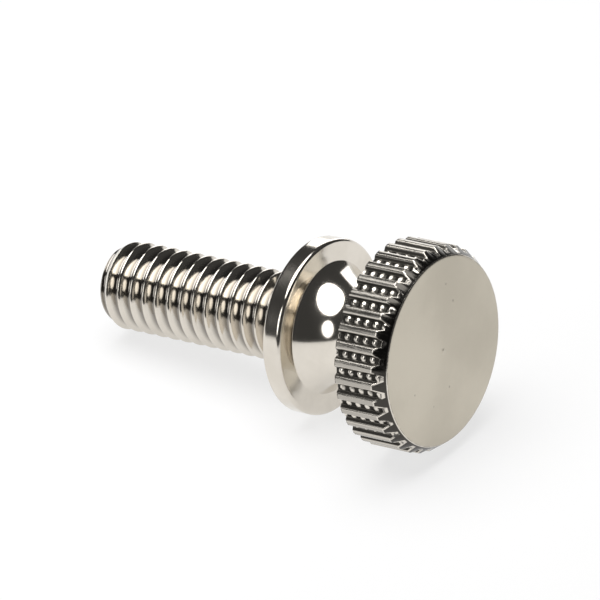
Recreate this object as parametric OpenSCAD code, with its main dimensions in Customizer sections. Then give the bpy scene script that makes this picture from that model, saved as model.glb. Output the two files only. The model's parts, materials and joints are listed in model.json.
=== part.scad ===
// Knurled thumb screw with a collar, turned from one bar and plated.
// It is drawn on its axis, with the flat face of the head at z = 0 and the shank along +Z.
// Then it is laid down as it comes to rest: on two ribs of the head and the edge of the collar,
// with the head at +X and the tip at -X.

/* [Head] */
// Diameter over the ribs
head_d = 10.8; // [9.5:0.1:16]
// Thickness of the head
head_h = 3; // [2.4:0.1:6]
// Bevel round the flat face, measured across the axis
face_bevel_w = 0.38; // [0.2:0.01:0.8]
// Bevel round the flat face, measured along the axis
face_bevel_h = 0.58; // [0.3:0.01:1]
// Broken edge at the back of the ribs
back_bevel = 0.1; // [0.05:0.01:0.3]

/* [Knurl] */
// Number of ribs round the head
rib_count = 36; // [28:1:40]
// Depth of the groove between two ribs
groove_depth = 0.29; // [0.18:0.01:0.4]
// Width of the groove's floor
groove_floor_w = 0.23; // [0.12:0.01:0.3]
// Angle between the two flanks of a groove
groove_angle = 70; // [50:1:80]
// Distance from one cross rung to the next along a groove
rung_pitch = 0.56; // [0.45:0.01:1]
// Width of a rung at its foot
rung_w = 0.48; // [0.2:0.01:0.52]
// Height of a rung above the groove's floor
rung_h = 0.1; // [0.05:0.01:0.18]
// Distance of the first rung from the face
rung_start = 0.43; // [0.4:0.01:0.8]
// Step back of the rungs in every second pair of grooves
rung_stagger = 0.37; // [0:0.01:0.5]

/* [Neck] */
// Length of the neck between the head and the collar
neck_h = 3.96; // [2.5:0.02:8]
// Diameter at the middle of the hollow
neck_d = 5.2; // [4.8:0.1:6.4]
// Diameter where the hollow meets the head and the collar
neck_end_d = 6.95; // [6.6:0.05:8]

/* [Collar] */
// Diameter of the collar
collar_d = 9.2; // [8.4:0.1:10.4]
// Thickness of the collar
collar_h = 1.1; // [0.6:0.05:3]
// Broken edge on both sides of the collar
collar_bevel = 0.12; // [0.05:0.01:0.25]

/* [Shank] */
// Outside diameter of the thread
thread_d = 4.65; // [3.6:0.05:6]
// Length of the threaded shank under the collar
thread_l = 12.3; // [8:0.1:16]
// Distance from one turn of the thread to the next
thread_pitch = 0.79375; // [0.75:0.00125:0.9]
// Depth of the thread
thread_depth = 0.46; // [0.3:0.01:0.5]
// Width of the floor between two turns
thread_root_w = 0.16; // [0.08:0.01:0.22]
// Angle between the two flanks of a turn
thread_angle = 60; // [50:1:60]
// Distance from the collar to the middle of the first thread groove
run_out = 0.97; // [0.7:0.01:2]
// Bevel of the tip, measured across the axis
tip_bevel_w = 0.4; // [0.2:0.05:0.8]
// Bevel of the tip, measured along the axis
tip_bevel_h = 0.7; // [0.3:0.05:1.5]

/* [Hidden] */
$fn = 96;

// Radii
head_r = head_d / 2;
collar_r = collar_d / 2;
thread_r = thread_d / 2;
neck_r = neck_d / 2;
neck_end_r = neck_end_d / 2;

// Stations along the axis, from the face of the head
collar_z = head_h + neck_h;
bearing_z = collar_z + collar_h;
tip_z = bearing_z + thread_l;

// The thread is drawn as rings one pitch apart, whose grooves run on past the crests
thread_spare = 0.05;
first_groove_z = bearing_z + run_out;
root_r = thread_r - thread_depth;
root_half = thread_root_w / 2;
thread_groove_half = root_half + (thread_depth + thread_spare) * tan(thread_angle / 2);

// The hollow of the neck is one arc through its middle and its two ends
hollow_depth = neck_end_r - neck_r;
hollow_r = (pow(hollow_depth, 2) + pow(neck_h / 2, 2)) / (2 * hollow_depth);

// A groove's flanks run on past the ribs, so that its cut leaves no skin
cut_spare = 0.2;
flank_slope = tan(groove_angle / 2);
groove_floor_r = head_r - groove_depth;
groove_w = groove_floor_w + 2 * groove_depth * flank_slope;
cut_w = groove_w + 2 * cut_spare * flank_slope;

// Half outline of the turned blank, [radius, station], with a straight neck
outline = [
    [0, 0],
    [head_r - face_bevel_w, 0],
    [head_r, face_bevel_h],
    [head_r, head_h - back_bevel],
    [head_r - back_bevel, head_h],
    [neck_end_r, head_h],
    [neck_end_r, collar_z],
    [collar_r - collar_bevel, collar_z],
    [collar_r, collar_z + collar_bevel],
    [collar_r, bearing_z - collar_bevel],
    [collar_r - collar_bevel, bearing_z],
    [thread_r, bearing_z],
    [thread_r, tip_z - tip_bevel_h],
    [thread_r - tip_bevel_w, tip_z],
    [0, tip_z],
];

// At rest a groove faces down, so the head stands on the edges of the ribs beside it
foot_r = sqrt(pow(head_r, 2) - pow(groove_w / 2, 2));
foot_z = head_h - back_bevel;

// The first point of the collar or shank to reach the floor sets how far the axis leans
rest_points = [for (p = outline) if (p[1] > collar_z) p];
lean = min([for (p = rest_points) atan((foot_r - p[0]) / (p[1] - foot_z))]);

// Ends of the lying screw along X, and the height of its axis over the floor at the face
x_high = max([for (p = outline) p[0] * sin(lean) - p[1] * cos(lean)]);
x_low = min([for (p = outline) -p[0] * sin(lean) - p[1] * cos(lean)]);
face_height = foot_r * cos(lean) + foot_z * sin(lean);

// Section of the groove between two turns of the thread, at z = 0
module thread_groove() {
    polygon([
        [root_r, -root_half],
        [thread_r + thread_spare, -thread_groove_half],
        [thread_r + thread_spare, thread_groove_half],
        [root_r, root_half],
    ]);
}

// Half section of the blank, with the hollow of the neck and the thread cut into it
module half_section() {
    difference() {
        polygon(outline);
        intersection() {
            translate([neck_r + hollow_r, head_h + neck_h / 2])
                circle(hollow_r);
            translate([0, head_h])
                square([head_r, neck_h]);
        }
        for (z = [first_groove_z : thread_pitch : tip_z + thread_groove_half])
            translate([0, z])
                thread_groove();
    }
}

// One cross rung, a low roof that lies across a groove at z = 0
module rung() {
    rotate([90, 0, 0])
        linear_extrude(cut_w, center = true)
            polygon([
                [groove_floor_r, -rung_w / 2],
                [groove_floor_r + rung_h, 0],
                [groove_floor_r, rung_w / 2],
            ]);
}

// What the knurl takes out between two ribs, on +X, with its rungs left standing
module groove_cut(step_back) {
    difference() {
        linear_extrude(head_h)
            polygon([
                [groove_floor_r, -groove_floor_w / 2],
                [head_r + cut_spare, -cut_w / 2],
                [head_r + cut_spare, cut_w / 2],
                [groove_floor_r, groove_floor_w / 2],
            ]);
        for (z = [rung_start + step_back : rung_pitch : head_h + rung_w / 4])
            translate([0, 0, z])
                rung();
    }
}

// Turns the drawn screw onto its side and sets it on the floor, centred over the origin
module lay_down() {
    translate([-(x_high + x_low) / 2, 0, face_height])
        rotate([0, -90 - lean, 0])
            children();
}

module thumb_screw() {
    color([0.74, 0.71, 0.66])
        lay_down()
            difference() {
                rotate_extrude()
                    half_section();
                for (i = [0 : rib_count - 1])
                    rotate(180 + (i + 1) * 360 / rib_count)
                        groove_cut(rung_stagger * (floor(i / 2) % 2));
            }
}

thumb_screw();
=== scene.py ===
# %% [markdown]
# # A knurled thumb screw
#
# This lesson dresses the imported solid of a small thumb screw, which is turned from one brass bar and
# plated with bright nickel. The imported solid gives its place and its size, and the screw is modelled
# again here with a real thread, rounded ribs and a finish. It is modelled upright and in millimetres,
# with the flat face of the head at z = 0 and the shank along +Z, because a lathe works on one axis.
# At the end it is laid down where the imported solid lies.

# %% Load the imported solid
import json
import math

import bmesh
import bpy
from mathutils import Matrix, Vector


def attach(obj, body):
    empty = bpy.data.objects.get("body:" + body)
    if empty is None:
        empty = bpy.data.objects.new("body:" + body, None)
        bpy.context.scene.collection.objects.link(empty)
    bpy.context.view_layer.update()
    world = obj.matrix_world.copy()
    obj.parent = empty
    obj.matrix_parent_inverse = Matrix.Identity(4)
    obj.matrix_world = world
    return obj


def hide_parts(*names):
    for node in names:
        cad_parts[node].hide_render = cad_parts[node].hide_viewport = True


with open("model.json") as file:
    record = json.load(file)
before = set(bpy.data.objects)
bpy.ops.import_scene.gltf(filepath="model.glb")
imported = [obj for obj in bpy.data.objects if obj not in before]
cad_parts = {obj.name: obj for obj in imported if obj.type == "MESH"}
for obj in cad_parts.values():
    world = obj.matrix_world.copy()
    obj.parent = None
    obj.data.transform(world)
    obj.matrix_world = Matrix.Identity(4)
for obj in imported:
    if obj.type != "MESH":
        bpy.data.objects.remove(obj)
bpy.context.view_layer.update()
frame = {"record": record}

# %% [markdown]
# ## The camera
#
# The view is set first, so that every later step can be looked at from the photograph's side. The
# screw was photographed from far away through a long lens, so its circles stay true ellipses. The
# camera is placed by two angles and a distance round a point in the middle of the picture.

# %% Camera
MM = 0.001
view_turn = math.radians(34.74)
view_height = math.radians(32.52)
view_distance = 410.2 * MM
view_middle = Vector((0.645, 0.464, 5.271)) * MM
sensor_mm = 36
lens_mm = 480

away = Vector((math.sin(view_turn), -math.cos(view_turn), 0)) * math.cos(view_height)
away.z = math.sin(view_height)
bpy.ops.object.camera_add(location=view_middle + away * view_distance)
camera = bpy.context.object
camera.name = "photo_camera"
camera.rotation_euler = away.to_track_quat("Z", "Y").to_euler()
camera.data.sensor_width = sensor_mm
camera.data.lens = lens_mm
bpy.context.scene.camera = camera
print("camera at", [round(c, 4) for c in camera.location])

# %% [markdown]
# ## Working in edit mode
#
# Nearly every step below goes the same way: open one piece in edit mode, pick some of its points by
# their place, and call an operator on them. These few helpers do the opening, picking and moving.
# Two places count as the same when they differ by less than NEAR, a thousandth of a millimetre.

# %% Helpers for whole pieces
def choose(*pieces):
    bpy.ops.object.select_all(action="DESELECT")
    for piece in pieces:
        piece.select_set(True)
    bpy.context.view_layer.objects.active = pieces[0]


def copy_of(piece, name):
    choose(piece)
    bpy.ops.object.duplicate()
    copy = bpy.context.object
    copy.name = name
    return copy


def apply_place(piece):
    choose(piece)
    bpy.ops.object.transform_apply(location=True, rotation=True, scale=True)


# %% Helpers for edit mode
NEAR = 0.001


def open_edit(piece):
    choose(piece)
    bpy.ops.object.mode_set(mode="EDIT")
    bpy.ops.mesh.select_mode(type="VERT")
    bpy.ops.mesh.select_all(action="DESELECT")


def close_edit():
    bpy.ops.object.mode_set(mode="OBJECT")


def pick_points(piece, test):
    mesh = bmesh.from_edit_mesh(piece.data)
    bpy.ops.mesh.select_all(action="DESELECT")
    for point in mesh.verts:
        point.select = test(point.co)
    mesh.select_flush(True)
    bmesh.update_edit_mesh(piece.data)


def pick_edges(piece, test):
    mesh = bmesh.from_edit_mesh(piece.data)
    bpy.ops.mesh.select_mode(type="EDGE")
    bpy.ops.mesh.select_all(action="DESELECT")
    for edge in mesh.edges:
        edge.select_set(all(test(point.co) for point in edge.verts))
    bmesh.update_edit_mesh(piece.data)


def move(x=0.0, y=0.0, z=0.0):
    bpy.ops.transform.translate(value=(x, y, z))


def stretch(x=1.0, y=1.0, z=1.0, about=(0, 0, 0)):
    bpy.ops.transform.resize(value=(x, y, z), center_override=about)


def weld(piece, gap=0.0005):
    open_edit(piece)
    bpy.ops.mesh.select_all(action="SELECT")
    bpy.ops.mesh.remove_doubles(threshold=gap)
    bpy.ops.mesh.normals_make_consistent(inside=False)
    close_edit()


def radius(point):
    return math.hypot(point.x, point.y)


# %% [markdown]
# ## One groove of the knurl
#
# The head is gripped by 36 straight ribs. Between two ribs lies a groove, and small cross rungs stand
# in it like the rungs of a ladder, which is what the knurling wheel leaves. A texture could fake them,
# but their glints are what the eye sees first, so they are real. One strip, a groove with half a rib
# on each side, is shaped from a flat grid. Its columns are moved to the groove's cross section, and
# then rows of its floor are lifted into waves, most in the middle, so that each rung is a small dome.

# %% The strip's cross section
rib_count = 36
rib_r = 5.39
groove_r = 5.11
floor_half = 0.115
flank_lean = math.tan(math.radians(35))
half_turn = math.pi / rib_count

seam_half = rib_r * math.sin(half_turn)
rib_edge_half = 0.355
corner_half = 0.307
corner_r = rib_r - 0.03
flank_top_r = rib_r - 0.08
flank_top_half = floor_half + (flank_top_r - groove_r) * flank_lean

half_section = [
    (0.0, groove_r),
    (floor_half / 2, groove_r),
    (floor_half, groove_r),
    (flank_top_half, flank_top_r),
    (corner_half, corner_r),
    (rib_edge_half, math.sqrt(rib_r**2 - rib_edge_half**2)),
    (seam_half, rib_r * math.cos(half_turn)),
]
section = [(-y, r) for y, r in reversed(half_section[1:])] + half_section
print("points across one strip:", len(section))

# %% The strip's rows
rung_pitch = 0.56
rung_start = 0.43
rows_per_rung = 6
row = rung_pitch / rows_per_rung
row_count = 42
strip_start = rung_start - 2 * rung_pitch
column_reach = 0.01

bpy.ops.object.select_all(action="DESELECT")
bpy.ops.mesh.primitive_grid_add(
    x_subdivisions=len(section) - 1,
    y_subdivisions=row_count,
    size=1,
    rotation=(math.pi / 2, 0, math.pi / 2),
)
strip = bpy.context.object
strip.name = "groove_strip"
apply_place(strip)
open_edit(strip)
bpy.ops.mesh.select_all(action="SELECT")
stretch(z=row * row_count)
move(z=strip_start + row * row_count / 2)
for number, (y, r) in enumerate(section):
    start_y = number / (len(section) - 1) - 0.5
    pick_points(strip, lambda p: p.x < groove_r / 2 and abs(p.y - start_y) < column_reach)
    move(x=r, y=y - start_y)
close_edit()
print("strip:", len(strip.data.vertices), "points")

# %% Lift the rungs
rung_wave = [1.0, 0.77, 0.27, 0.0, 0.27, 0.77]
rung_dome = [0.13, 0.12, 0.075]

open_edit(strip)
for column, dome in enumerate(rung_dome):
    across = column * floor_half / 2
    for step, share in enumerate(rung_wave):
        lift = dome * share
        pick_points(
            strip,
            lambda p: abs(abs(p.y) - across) < NEAR
            and abs(p.x - groove_r) < NEAR
            and round((p.z - strip_start) / row) % rows_per_rung == step,
        )
        if across == floor_half:
            stretch(y=1 + lift * flank_lean / floor_half)
        move(x=lift)
close_edit()
print("rungs lifted by", rung_dome, "from the middle outwards")

# %% [markdown]
# ## Trimming the strip
#
# The rungs are stepped back in every second pair of grooves, so two lengths are cut from the same
# long strip, one pushed along by four rows. Each is cut with two planes, one for the bevel round the
# flat face and one for the back of the head. The first cut makes the scallops that the grooves leave
# on the bevel. Then the open edges are extruded to make the bevel itself and a rim at the back. A rim
# is flattened to one height and one radius, and pulled in sideways so that neighbours still meet.

# %% Cut two strips to length
head_h = 3.0
face_r = 4.94
bevel_w = 0.45
bevel_h = 0.68
face_edge = (4.973, 0.0, 0.05)
back_rim = (4.95, 0.0, head_h)
rung_step_back = 4 * row
on_cut = 1e-4


def on_bevel(p):
    return abs((p.x - face_r) * bevel_h - p.z * bevel_w) < on_cut


def on_back(p):
    return abs(p.z - head_h) < on_cut


def seam_scale(r):
    return r * math.tan(half_turn) / seam_half


def trim(piece):
    open_edit(piece)
    bpy.ops.mesh.select_all(action="SELECT")
    bevel_way = (bevel_h, 0, -bevel_w)
    bpy.ops.mesh.bisect(plane_co=(face_r, 0, 0), plane_no=bevel_way, clear_outer=True)
    bpy.ops.mesh.select_all(action="SELECT")
    bpy.ops.mesh.bisect(plane_co=(0, 0, head_h), plane_no=(0, 0, 1), clear_outer=True)
    pick_edges(piece, on_bevel)
    bpy.ops.mesh.extrude_region()
    stretch(0, seam_scale(face_edge[0]), 0, about=face_edge)
    pick_edges(piece, on_back)
    bpy.ops.mesh.extrude_region()
    stretch(0, seam_scale(back_rim[0]), 0, about=back_rim)
    close_edit()


stepped = copy_of(strip, "groove_strip_stepped")
stepped.location.z = rung_step_back
apply_place(stepped)
trim(strip)
trim(stepped)
print("trimmed strips:", len(strip.data.polygons), "and", len(stepped.data.polygons), "faces")

# %% Break the back edge of the ribs
back_bevel = 0.1
rib_top_r = corner_r - 0.005


def break_back(piece):
    open_edit(piece)
    pick_edges(piece, lambda p: on_back(p) and p.x > rib_top_r)
    bpy.ops.mesh.bevel(offset=back_bevel, segments=2, affect="EDGES")
    close_edit()


break_back(strip)
break_back(stepped)
print("strips with broken back edges:", len(strip.data.polygons), len(stepped.data.polygons))

# %% [markdown]
# ## Round the head
#
# Four strips, two of each kind, make a group that covers 40 degrees. The group is spun round the axis
# as copies, and the copies are welded along the middles of the ribs.

# %% Spin the strips round the head
step_angle = 2 * half_turn
seam_gap = 0.002


def turned_copy(piece, name, turns):
    copy = copy_of(piece, name)
    copy.rotation_euler.z = turns * step_angle
    apply_place(copy)
    return copy


group = [
    turned_copy(stepped, "groove_1", 1),
    turned_copy(stepped, "groove_2", 2),
    turned_copy(strip, "groove_3", 3),
    turned_copy(strip, "groove_4", 4),
]
choose(*group)
bpy.ops.object.join()
head = group[0]
head.name = "head"
bpy.data.objects.remove(strip)
bpy.data.objects.remove(stepped)

open_edit(head)
bpy.ops.mesh.select_all(action="SELECT")
group_count = rib_count // len(group)
group_angle = len(group) * step_angle
bpy.ops.mesh.spin(
    steps=group_count - 1,
    dupli=True,
    angle=group_angle * (group_count - 1),
    center=(0, 0, 0),
    axis=(0, 0, 1),
)
close_edit()
weld(head, seam_gap)
print("ribbed head:", len(head.data.vertices), "points")

# %% [markdown]
# ## The flat face
#
# The edge of the face is still a ring of 36 short straights. A Cast modifier rounds that ring into a
# true circle, and then the ring is extruded inwards: over a small rounded edge, across the flat, and
# up to the tiny pip that a parting tool leaves in the middle.

# %% Round the edge of the face
ring_spread = 0.03


def on_face_edge(p):
    return abs(p.z - face_edge[2]) < NEAR and radius(p) < face_edge[0] + ring_spread


open_edit(head)
pick_points(head, on_face_edge)
bpy.ops.object.vertex_group_assign_new()
close_edit()
rounding = head.modifiers.new("round_face_edge", "CAST")
rounding.cast_type = "CYLINDER"
rounding.use_z = False
rounding.use_radius_as_size = False
rounding.size = face_edge[0]
rounding.factor = 1
rounding.vertex_group = head.vertex_groups[-1].name
bpy.ops.object.modifier_apply(modifier=rounding.name)
head.vertex_groups.clear()
print("edge of the face rounded to a radius of", face_edge[0])

# %% Close the head with its face
# Radius and height of each ring, from the edge to the middle
face_rings = [
    (4.945, 0.016),
    (4.9, 0.0),
    (4.83, 0.0),
    (0.25, 0.0),
    (0.12, 0.0),
    (0.09, -0.014),
    (0.045, -0.022),
]
open_edit(head)
pick_edges(head, on_face_edge)
last_r, _, last_z = face_edge
for ring_r, ring_z in face_rings:
    bpy.ops.mesh.extrude_region()
    stretch(ring_r / last_r, ring_r / last_r)
    move(z=ring_z - last_z)
    last_r, last_z = ring_r, ring_z
bpy.ops.mesh.edge_face_add()
close_edit()
print("head with its face:", len(head.data.polygons), "faces")

# %% [markdown]
# ## Neck, collar and shoulder
#
# Everything behind the head is plain turned work. Its half outline is drawn point by point, as with
# the extrude key, and spun once round the axis. The neck is one hollow arc. The collar has two broken
# edges. Behind it a short plain shoulder runs into the thread and ends inside it.

# %% Draw an outline and spin it
def draw_outline(name, points):
    bpy.ops.object.select_all(action="DESELECT")
    bpy.ops.mesh.primitive_plane_add(size=0.1)
    piece = bpy.context.object
    piece.name = name
    open_edit(piece)
    bpy.ops.mesh.select_all(action="SELECT")
    bpy.ops.mesh.merge(type="CENTER")
    bpy.ops.mesh.select_all(action="SELECT")
    last = points[0]
    move(x=last[0], z=last[1])
    for point in points[1:]:
        bpy.ops.mesh.extrude_region()
        move(x=point[0] - last[0], z=point[1] - last[1])
        last = point
    close_edit()
    return piece


def spin_round(piece, steps):
    open_edit(piece)
    bpy.ops.mesh.select_all(action="SELECT")
    bpy.ops.mesh.spin(steps=steps, angle=2 * math.pi, center=(0, 0, 0), axis=(0, 0, 1))
    close_edit()
    weld(piece)


# %% Points of the neck
neck_r = 2.6
neck_end_r = 3.475
neck_h = 3.96
neck_steps = 28

hollow_depth = neck_end_r - neck_r
hollow_r = (hollow_depth**2 + (neck_h / 2) ** 2) / (2 * hollow_depth)
hollow_reach = math.asin(neck_h / 2 / hollow_r)
neck_points = []
for step in range(neck_steps + 1):
    swing = hollow_reach * (2 * step / neck_steps - 1)
    r = neck_r + hollow_r - hollow_r * math.cos(swing)
    neck_points.append((r, head_h + neck_h / 2 + hollow_r * math.sin(swing)))

# The first ring is lifted a little, so that it can be bridged to the head without a twist
bridge_lift = 0.02
neck_points[0] = (neck_end_r, head_h + bridge_lift)
print("points along the neck:", len(neck_points))

# %% Turn the neck, the collar and the shoulder
collar_r = 4.6
collar_h = 1.1
collar_z = head_h + neck_h
bearing_z = collar_z + collar_h
shoulder_r = 2.315
ring_start = (3.52, collar_z)
lathe_steps = 180

# Radius and depth of a broken edge, from the collar's side to its rim
collar_edge = [
    (4.38, 0.0),
    (4.44, 0.0),
    (4.495, 0.015),
    (4.585, 0.105),
    (collar_r, 0.16),
    (collar_r, 0.24),
]
# Radius and distance behind the collar
shoulder = [
    (2.45, 0.0),
    (2.39, 0.0),
    (2.335, 0.02),
    (shoulder_r, 0.08),
    (shoulder_r, 0.5),
    (1.65, 1.05),
    (0.0, 1.05),
]
turned_points = neck_points + [ring_start]
turned_points += [(r, collar_z + z) for r, z in collar_edge]
turned_points += [(r, bearing_z - z) for r, z in reversed(collar_edge)]
turned_points += [(r, bearing_z + z) for r, z in shoulder]
turned = draw_outline("turned_neck", turned_points)
spin_round(turned, lathe_steps)
print("neck, collar and shoulder:", len(turned.data.polygons), "faces")

# %% Join the neck to the head
def on_open_ring(p):
    on_neck = abs(radius(p) - neck_end_r) < NEAR
    on_rim = back_rim[0] - NEAR < radius(p) < back_rim[0] + ring_spread
    return abs(p.z - head_h) < ring_spread and (on_neck or on_rim)


choose(head, turned)
bpy.ops.object.join()
open_edit(head)
pick_edges(head, on_open_ring)
bpy.ops.mesh.bridge_edge_loops()
close_edit()
weld(head)
print("head, neck and collar:", len(head.data.polygons), "faces")

# %% [markdown]
# ## The thread
#
# The shank carries a right-hand thread with 32 turns to the inch. Rings would look like a thread from
# one side only, so it is a true helix: the outline of one turn is wound up by a Screw modifier. The
# winding is cut off at both ends, and its tip is trimmed to the bevel with a Boolean, as a die
# leaves it.

# %% Wind the thread
thread_pitch = 25.4 / 32
thread_r = 2.325
root_r = 1.865
thread_steps = 80
turn_offset = 0.499
first_turn_z = bearing_z - turn_offset - thread_pitch
turn_count = 19

# Radius and height from the root to the crest of one turn
half_outline = [
    (root_r, 0.0),
    (root_r + 0.012, 0.05),
    (root_r + 0.045, 0.092),
    (thread_r - 0.09, 0.294),
    (thread_r - 0.05, 0.318),
    (thread_r - 0.022, 0.345),
    (thread_r - 0.006, 0.372),
    (thread_r, thread_pitch / 2),
]
thread_outline = half_outline + [(r, thread_pitch - z) for r, z in reversed(half_outline[:-1])]
thread = draw_outline("thread", [(r, first_turn_z + z) for r, z in thread_outline])
winding = thread.modifiers.new("winding", "SCREW")
winding.axis = "Z"
winding.angle = 2 * math.pi
winding.screw_offset = thread_pitch
winding.iterations = turn_count
winding.steps = thread_steps
winding.render_steps = thread_steps
bpy.ops.object.modifier_apply(modifier=winding.name)
weld(thread)
print("wound thread:", len(thread.data.polygons), "faces")

# %% Cut the winding to length
thread_start_z = 7.9
thread_end_z = 20.8


def cut_off(z, way):
    bpy.ops.mesh.select_all(action="SELECT")
    bpy.ops.mesh.bisect(plane_co=(0, 0, z), plane_no=(0, 0, way), clear_outer=True, use_fill=True)


open_edit(thread)
cut_off(thread_start_z, -1)
cut_off(thread_end_z, 1)
close_edit()
weld(thread)
print("thread cut to length:", len(thread.data.polygons), "faces")

# %% Bevel the tip
thread_l = 12.3
tip_z = bearing_z + thread_l
form_r = 2.5
form_z = 7.8


def combine(piece, other, operation):
    choose(piece)
    step = piece.modifiers.new("combine", "BOOLEAN")
    step.operation = operation
    step.solver = "EXACT"
    step.object = other
    bpy.ops.object.modifier_apply(modifier=step.name)
    bpy.data.objects.remove(other)


tip_points = [
    (0, form_z),
    (form_r, form_z),
    (form_r, tip_z - 1.01),
    (1.945, tip_z - 0.04),
    (1.9, tip_z),
    (0, tip_z),
]
tip_form = draw_outline("tip_form", tip_points)
spin_round(tip_form, lathe_steps)
combine(thread, tip_form, "INTERSECT")
print("thread with its tip:", len(thread.data.polygons), "faces")

# %% [markdown]
# ## Laying the screw down
#
# The imported record says where the thread is and which way it points. From that come the middle of the
# flat face and the lean of the lying screw. Both pieces are turned to that lean before the last Boolean
# joins them. On the upright head many points along a rib lie equally far out along X, and there the
# Boolean can lose the thread. On the leaning head one point lies furthest out. Then the size and the
# place are applied as well, so the finished object sits at the origin.

# %% Turn both pieces and join them
thread_mount = next(m for m in frame["record"]["mounts"] if m["name"] == "thread")
axis = Vector(thread_mount["axis"])
mount_z = bearing_z + thread_mount["dims"]["length_mm"] / 2
face_middle = Vector(thread_mount["pos_m"]) - axis * mount_z * MM
lean = math.asin(-axis.z)
lying_turn = (0, -math.pi / 2 - lean, 0)

for piece in (head, thread):
    piece.rotation_euler = lying_turn
    apply_place(piece)
combine(head, thread, "UNION")
weld(head)
print("whole screw:", len(head.data.polygons), "faces")

# %% Lay the screw down
sharp_angle = math.radians(38)

screw = head
screw.name = "knurled_thumb_screw"
screw.data.name = "knurled_thumb_screw"
screw.scale = (MM, MM, MM)
screw.location = face_middle
apply_place(screw)
bpy.ops.object.shade_smooth_by_angle(angle=sharp_angle)
triangles = sum(len(face.vertices) - 2 for face in screw.data.polygons)
lean_shown = round(math.degrees(lean), 2)
print("screw laid down, leaning", lean_shown, "degrees;", triangles, "triangles")

# %% [markdown]
# ## Nickel plate
#
# Bright nickel is a warm, slightly yellow mirror. The turned parts of the screw are nearly polished,
# the flat face and the back of the head are satin, and the ribs keep a drawn grain. The narrow grooves
# are rough, and they and the bevel get painted shade, a colour near black; the roots of the thread get
# a lighter painted shade. One material does it all, because the plate is one skin. Its nodes turn the
# coordinates back to the upright screw in millimetres, so that radius and height tell the parts apart.

# %% Coordinates of the upright screw
nickel = bpy.data.materials.new("nickel_plate")
nickel.use_nodes = True
nodes = nickel.node_tree.nodes
links = nickel.node_tree.links
shader = nodes["Principled BSDF"]
shader.inputs["Metallic"].default_value = 1.0
screw.data.materials.clear()
screw.data.materials.append(nickel)

coords = nodes.new("ShaderNodeTexCoord")
upright = nodes.new("ShaderNodeMapping")
upright.vector_type = "TEXTURE"
upright.inputs["Location"].default_value = face_middle
upright.inputs["Rotation"].default_value = lying_turn
upright.inputs["Scale"].default_value = (MM, MM, MM)
links.new(coords.outputs["Object"], upright.inputs["Vector"])
place = upright.outputs["Vector"]
print("material", nickel.name, "on", screw.name)

# %% [markdown]
# Three helpers keep the node work short. The first sets a socket or links it, and the second is one
# sum. The third is a soft step, from 0 at its start to 1 at its end, or between two other values.

# %% Helpers for nodes, radius and height
def feed(socket, value):
    if isinstance(value, bpy.types.NodeSocket):
        links.new(value, socket)
    else:
        socket.default_value = value


def calc(operation, first, second=0.0):
    node = nodes.new("ShaderNodeMath")
    node.operation = operation
    feed(node.inputs[0], first)
    feed(node.inputs[1], second)
    return node.outputs["Value"]


def ramp(value, start, end, low=0.0, high=1.0):
    node = nodes.new("ShaderNodeMapRange")
    node.interpolation_type = "SMOOTHSTEP"
    feed(node.inputs["Value"], value)
    feed(node.inputs["From Min"], start)
    feed(node.inputs["From Max"], end)
    feed(node.inputs["To Min"], low)
    feed(node.inputs["To Max"], high)
    return node.outputs["Result"]


split = nodes.new("ShaderNodeSeparateXYZ")
links.new(place, split.inputs["Vector"])
height = split.outputs["Z"]
across_axis = nodes.new("ShaderNodeVectorMath")
across_axis.operation = "MULTIPLY"
across_axis.inputs[1].default_value = (1, 1, 0)
links.new(place, across_axis.inputs[0])
from_axis = nodes.new("ShaderNodeVectorMath")
from_axis.operation = "LENGTH"
links.new(across_axis.outputs["Vector"], from_axis.inputs[0])
axis_distance = from_axis.outputs["Value"]
print("radius and height are read in millimetres")

# %% [markdown]
# ## Telling ribs, grooves and rungs apart
#
# The angle round the axis, folded to and fro every 5 degrees, is the distance from the middle of the
# nearest groove. A point close to that middle lies in the groove, unless it stands as high as the top
# of a rung. How far a point lies under the bevel's slope tells the bevel from the ribs. Where a groove
# breaks through the bevel, handling has worn a bright lip round its mouth, so the lip is the strip of
# the bevel next to the groove, and the worn edge is the strip of rib and groove next to the bevel. The
# masks made from this are 1 inside their part and 0 outside, and their limits are in millimetres.

# %% Masks for the face, the bevel and the back
face = ramp(height, 0.03, 0.004)
over_face = ramp(height, 0.045, 0.075)
knurl = ramp(axis_distance, 4.9, 4.95)
angle_round = calc("ARCTAN2", split.outputs["Y"], split.outputs["X"])
fold = calc("PINGPONG", angle_round, half_turn)
from_groove = calc("MULTIPLY", fold, axis_distance)
strip_shrink = calc("SUBTRACT", 1.0, calc("COSINE", fold))
strip_shrink = calc("MULTIPLY", strip_shrink, ramp(height, 0.05, bevel_h))
strip_distance = calc("MULTIPLY", axis_distance, calc("SUBTRACT", 1.0, strip_shrink))
bevel_line = calc("ADD", calc("MULTIPLY", height, bevel_w / bevel_h), face_r)
under_bevel = calc("SUBTRACT", bevel_line, strip_distance)
bevel = calc("MULTIPLY", knurl, ramp(under_bevel, 0.025, 0.01))
bevel = calc("MULTIPLY", bevel, over_face)
from_back = calc("ABSOLUTE", calc("SUBTRACT", height, head_h))
head_back = calc("MULTIPLY", ramp(from_back, 0.06, 0.02), ramp(axis_distance, neck_end_r, 3.6))
print("masks: face, knurl, bevel, head back")

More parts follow.
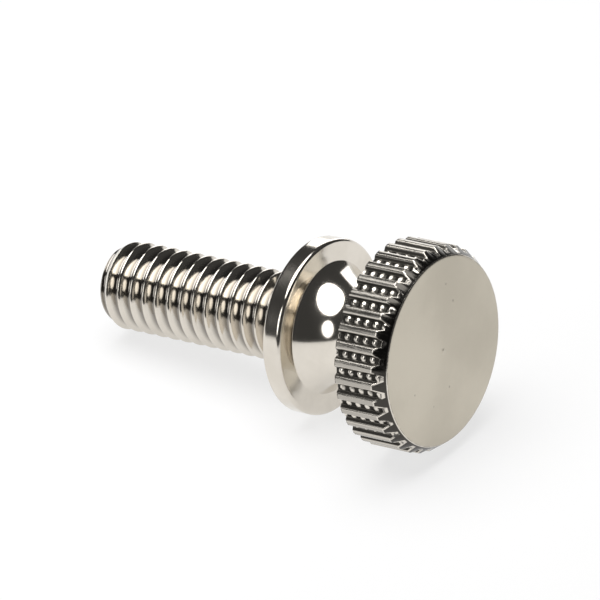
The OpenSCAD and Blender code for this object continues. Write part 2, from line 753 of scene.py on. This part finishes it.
# %% Masks for the grooves, the bright edges and the thread
clear_of_bevel = ramp(under_bevel, 0.008, 0.02)
in_groove = calc("MULTIPLY", knurl, clear_of_bevel)
in_groove = calc("MULTIPLY", in_groove, ramp(from_groove, 0.32, 0.29))
in_groove = calc("MULTIPLY", in_groove, ramp(axis_distance, 5.34, 5.3))
rung_top = calc("MULTIPLY", ramp(axis_distance, 5.15, 5.2), ramp(from_groove, 0.18, 0.11))
# Mask for the painted shade in the grooves: their floors and flanks, but not the rung tops
shaded_groove = calc("MULTIPLY", in_groove, calc("SUBTRACT", 1.0, rung_top))
rib_corner = calc("MULTIPLY", ramp(axis_distance, 5.3, 5.33), ramp(from_groove, 0.365, 0.33))
worn_edge = calc("MULTIPLY", clear_of_bevel, ramp(under_bevel, 0.075, 0.05))
worn_edge = calc("MULTIPLY", worn_edge, calc("MULTIPLY", knurl, ramp(height, 0.15, 0.25)))
above_floor = calc("SUBTRACT", strip_distance, groove_r)
flank_line = calc("ADD", calc("MULTIPLY", above_floor, flank_lean), floor_half)
beside_flank = calc("SUBTRACT", from_groove, flank_line)
beside_groove = calc("MAXIMUM", beside_flank, calc("MULTIPLY", above_floor, -1.0))
lip = calc("MULTIPLY", bevel, ramp(beside_groove, 0.08, 0.045))
lip = calc("MULTIPLY", lip, ramp(beside_groove, -0.05, -0.015))

threaded = ramp(height, bearing_z, bearing_z + 0.3)
# Mask for the painted shade at the roots of the thread
thread_root_shade = calc("MULTIPLY", threaded, ramp(axis_distance, root_r + 0.32, root_r + 0.06))
print("masks: groove, rung top, rib corner, worn edge, lip, thread root")

# %% [markdown]
# ## Clouds, grain and specks
#
# A plated surface is never quite even. Soft clouds vary its colour and gloss a little, a grain drawn
# out along the axis lies on the ribs, and the satin face has slower clouds and a few small pits. The
# rungs, lips and worn edges aren't all rubbed bright to the same degree, so a coarser noise picks some
# and dims others.

# %% Uneven plating
def noise(scale, detail, roughness, stretch_z=1.0):
    reach = nodes.new("ShaderNodeVectorMath")
    reach.operation = "MULTIPLY"
    reach.inputs[1].default_value = (1, 1, stretch_z)
    links.new(place, reach.inputs[0])
    node = nodes.new("ShaderNodeTexNoise")
    node.inputs["Scale"].default_value = scale
    node.inputs["Detail"].default_value = detail
    node.inputs["Roughness"].default_value = roughness
    links.new(reach.outputs["Vector"], node.inputs["Vector"])
    return node.outputs["Fac"]


slow_share = 0.75
corner_share = 0.45
pit_spread = 0.85

clouds = noise(scale=0.55, detail=4, roughness=0.6)
slow_clouds = noise(scale=0.15, detail=2, roughness=0.3)
slow_part = calc("MULTIPLY", slow_clouds, slow_share)
face_clouds = calc("ADD", slow_part, calc("MULTIPLY", clouds, 1 - slow_share))
grain = noise(scale=9.0, detail=3, roughness=0.6, stretch_z=0.12)
cells = nodes.new("ShaderNodeTexVoronoi")
cells.inputs["Scale"].default_value = pit_spread
links.new(place, cells.inputs["Vector"])
pits = calc("MULTIPLY", face, ramp(cells.outputs["Distance"], 0.075, 0.035))
uneven = ramp(noise(scale=2.1, detail=2, roughness=0.5), 0.36, 0.52)
bright_spot = calc("MAXIMUM", rung_top, calc("MAXIMUM", worn_edge, lip))
bright_spot = calc("MULTIPLY", uneven, bright_spot)
bright_spot = calc("MAXIMUM", bright_spot, calc("MULTIPLY", rib_corner, corner_share))
in_knurl = calc("MULTIPLY", knurl, over_face)
print("plating varies by clouds, grain and pits")

# %% [markdown]
# ## Colour, gloss and soft edges
#
# The parts are painted one over the other, from the plain plate to the painted shade of the grooves
# and the bevel, then the bright spots on top and the painted shade of the thread roots. A mirror takes
# its look from its roughness as much as from its colour, so the gloss is layered in the same order.
# Plating rounds every sharp edge a little. A Bevel node gives that rounding, a twentieth of a
# millimetre, to edges that are too many to bevel one by one.

# %% Colour
def blend(mask, under, over, kind="RGBA"):
    node = nodes.new("ShaderNodeMix")
    node.data_type = kind
    feed(node.inputs["Factor"], mask)
    feed(node.inputs["A"], under)
    feed(node.inputs["B"], over)
    return node.outputs["Result"]


warm_nickel = (0.73, 0.685, 0.615, 1)
cloudy_nickel = (0.68, 0.635, 0.565, 1)
satin_nickel = (0.497, 0.456, 0.379, 1)
satin_light = (0.603, 0.556, 0.466, 1)
pit_dark = (0.3, 0.27, 0.23, 1)
back_nickel = (0.88, 0.85, 0.78, 1)
rib_nickel = (0.43, 0.405, 0.365, 1)
# Painted shade: the bevel is coloured near black, standing in for the dark room it would reflect
bevel_painted_shade = (0.06, 0.056, 0.05, 1)
# Painted shade: the grooves are coloured near black, as if shade filled them
groove_painted_shade = (0.045, 0.042, 0.037, 1)
# Painted shade: the roots of the thread are coloured darker
root_painted_shade = (0.28, 0.262, 0.238, 1)
pit_share = 0.6

satin = blend(ramp(face_clouds, 0.35, 0.65), satin_nickel, satin_light)
satin = blend(calc("MULTIPLY", pits, pit_share), satin, pit_dark)
colour = blend(ramp(clouds, 0.35, 0.7), warm_nickel, cloudy_nickel)
colour = blend(face, colour, satin)
colour = blend(head_back, colour, back_nickel)
colour = blend(in_knurl, colour, rib_nickel)
# Painted shade in the grooves
colour = blend(shaded_groove, colour, groove_painted_shade)
# Painted shade on the bevel
colour = blend(bevel, colour, bevel_painted_shade)
colour = blend(bright_spot, colour, warm_nickel)
# Painted shade at the thread roots
colour = blend(thread_root_shade, colour, root_painted_shade)
links.new(colour, shader.inputs["Base Color"])
print("colour is layered over", nickel.name)

# %% Gloss
back_rough = 0.4
groove_rough = 0.5
bright_rough = 0.2

plate_rough = ramp(clouds, 0.3, 0.7, low=0.09, high=0.14)
face_rough = ramp(clouds, 0.3, 0.7, low=0.33, high=0.37)
rib_rough = ramp(grain, 0.3, 0.7, low=0.15, high=0.27)
gloss = blend(face, plate_rough, face_rough, "FLOAT")
gloss = blend(head_back, gloss, back_rough, "FLOAT")
gloss = blend(knurl, gloss, rib_rough, "FLOAT")
gloss = blend(shaded_groove, gloss, groove_rough, "FLOAT")
gloss = blend(bright_spot, gloss, bright_rough, "FLOAT")
links.new(gloss, shader.inputs["Roughness"])
print("gloss is layered in the same order")

# %% Grain, pits and soft edges
relief_depth = 0.02 * MM
relief_strength = 0.5
grain_share = 0.4
edge_round = 0.05 * MM

bump = nodes.new("ShaderNodeBump")
bump.inputs["Strength"].default_value = relief_strength
bump.inputs["Distance"].default_value = relief_depth
rib_grain = calc("MULTIPLY", grain, calc("MULTIPLY", knurl, grain_share))
links.new(calc("SUBTRACT", rib_grain, pits), bump.inputs["Height"])
soft_edges = nodes.new("ShaderNodeBevel")
soft_edges.samples = 6
soft_edges.inputs["Radius"].default_value = edge_round
links.new(soft_edges.outputs["Normal"], bump.inputs["Normal"])
links.new(bump.outputs["Normal"], shader.inputs["Normal"])
print("nickel is ready:", len(nodes), "nodes")

# %% [markdown]
# ## Floor and light
#
# The screw lies on a white table under one large soft light, with a second light at the left and a
# white card behind. Metal shows what is round it, so the dark room between the lights matters as much
# as the lights do. The overhead light is an ellipse, placed so that the neck shows it whole and the
# collar's rim just misses it and stays dark. The table is white paper. Part of its white is a glow that
# only the camera and the mirrors see, so it lights nothing, and the rest is lit and keeps the shadow.

# %% Floor
floor_size = 3
paper_white = (0.9, 0.9, 0.9, 1)
paper_rough = 0.9

bpy.ops.object.select_all(action="DESELECT")
bpy.ops.mesh.primitive_plane_add(size=floor_size)
floor = bpy.context.object
floor.name = "white_table"
paper = bpy.data.materials.new("white_paper")
paper.use_nodes = True
paper_nodes = paper.node_tree.nodes
paper_links = paper.node_tree.links
paper_shader = paper_nodes["Principled BSDF"]
paper_shader.inputs["Base Color"].default_value = paper_white
paper_shader.inputs["Roughness"].default_value = paper_rough
paper_shader.inputs["Specular IOR Level"].default_value = 0.0
floor.data.materials.append(paper)
print("floor laid:", floor.name)

# %% Glow of the paper
glow_part = 0.72

glow = paper_nodes.new("ShaderNodeEmission")
glow.inputs["Color"].default_value = (1, 1, 1, 1)
glow.inputs["Strength"].default_value = 1.0

ray = paper_nodes.new("ShaderNodeLightPath")
seen = paper_nodes.new("ShaderNodeMath")
seen.operation = "MAXIMUM"
paper_links.new(ray.outputs["Is Camera Ray"], seen.inputs[0])
paper_links.new(ray.outputs["Is Glossy Ray"], seen.inputs[1])
seen_through = paper_nodes.new("ShaderNodeMath")
seen_through.operation = "MAXIMUM"
paper_links.new(seen.outputs["Value"], seen_through.inputs[0])
paper_links.new(ray.outputs["Is Transmission Ray"], seen_through.inputs[1])
glow_share = paper_nodes.new("ShaderNodeMath")
glow_share.operation = "MULTIPLY"
glow_share.inputs[1].default_value = glow_part
paper_links.new(seen_through.outputs["Value"], glow_share.inputs[0])
paper_mix = paper_nodes.new("ShaderNodeMixShader")
paper_links.new(glow_share.outputs["Value"], paper_mix.inputs["Fac"])
paper_links.new(paper_shader.outputs["BSDF"], paper_mix.inputs[1])
paper_links.new(glow.outputs["Emission"], paper_mix.inputs[2])
paper_links.new(paper_mix.outputs["Shader"], paper_nodes["Material Output"].inputs["Surface"])
print("glow mixed into", paper.name)

# %% Dark room
room_grey = (0.05, 0.05, 0.05, 1)

room = bpy.data.worlds.new("dark_room")
bpy.context.scene.world = room
room.use_nodes = True
backdrop = room.node_tree.nodes["Background"]
backdrop.inputs["Color"].default_value = room_grey
backdrop.inputs["Strength"].default_value = 1.0
print("room:", room.name)

# %% [markdown]
# Places for the lights are given as the camera sees them, by what is right and what is back. A light's
# brightness is that of its surface, so a larger light of the same brightness gives more light.

# %% Helpers for lights
right = Vector((math.cos(view_turn), math.sin(view_turn), 0))
back = Vector((-math.sin(view_turn), math.cos(view_turn), 0))


def soft_light(name, spot, size, brightness, shape="RECTANGLE"):
    bpy.ops.object.light_add(type="AREA", location=spot)
    lamp = bpy.context.object
    lamp.name = name
    lamp.data.shape = shape
    lamp.data.size = size[0]
    lamp.data.size_y = size[1]
    area = size[0] * size[1]
    if shape == "ELLIPSE":
        area *= math.pi / 4
    lamp.data.energy = brightness * math.pi * area
    aim = spot - view_middle
    lamp.rotation_euler = aim.to_track_quat("Z", "Y").to_euler()
    print(name, "at", [round(c, 3) for c in spot])
    return lamp


def round_the_screw(turn_degrees, rise_degrees, distance):
    turn = math.radians(turn_degrees)
    rise = math.radians(rise_degrees)
    flat = right * math.sin(turn) + back * math.cos(turn)
    return (flat * math.cos(rise) + Vector((0, 0, math.sin(rise)))) * distance


# %% Overhead light
lamp_height = 0.15
lamp_shift = (right * -0.214 + back * 0.081) * lamp_height
lamp_size = (1.3 * lamp_height, 1.065 * lamp_height)
lamp_turn = view_turn + math.radians(33.6)
lamp_brightness = 4.2

lamp_spot = lamp_shift + Vector((0, 0, lamp_height))
overhead = soft_light("overhead_softbox", lamp_spot, lamp_size, lamp_brightness, "ELLIPSE")
overhead.rotation_euler = (0, 0, lamp_turn)

# %% Side light and card
side_spot = round_the_screw(turn_degrees=-126, rise_degrees=26, distance=0.18)
side_size = (0.085, 0.11)
side_brightness = 2.6
soft_light("left_softbox", side_spot, side_size, side_brightness, "ELLIPSE")

card_spot = round_the_screw(turn_degrees=13, rise_degrees=15, distance=0.24)
card_size = (0.16, 0.12)
card_brightness = 2.2
soft_light("back_card", card_spot, card_size, card_brightness)

# %% [markdown]
# ## Picture and hand-over
#
# The Standard view keeps the white of the paper white. The screw is then tied to the root body, and the
# imported solid that it stands for is hidden.

# %% Picture settings
scene = bpy.context.scene
scene.view_settings.view_transform = "Standard"
print("view transform:", scene.view_settings.view_transform)

# %% Hand the screw over to the frame
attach(screw, "root")
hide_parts("thumb_screw")
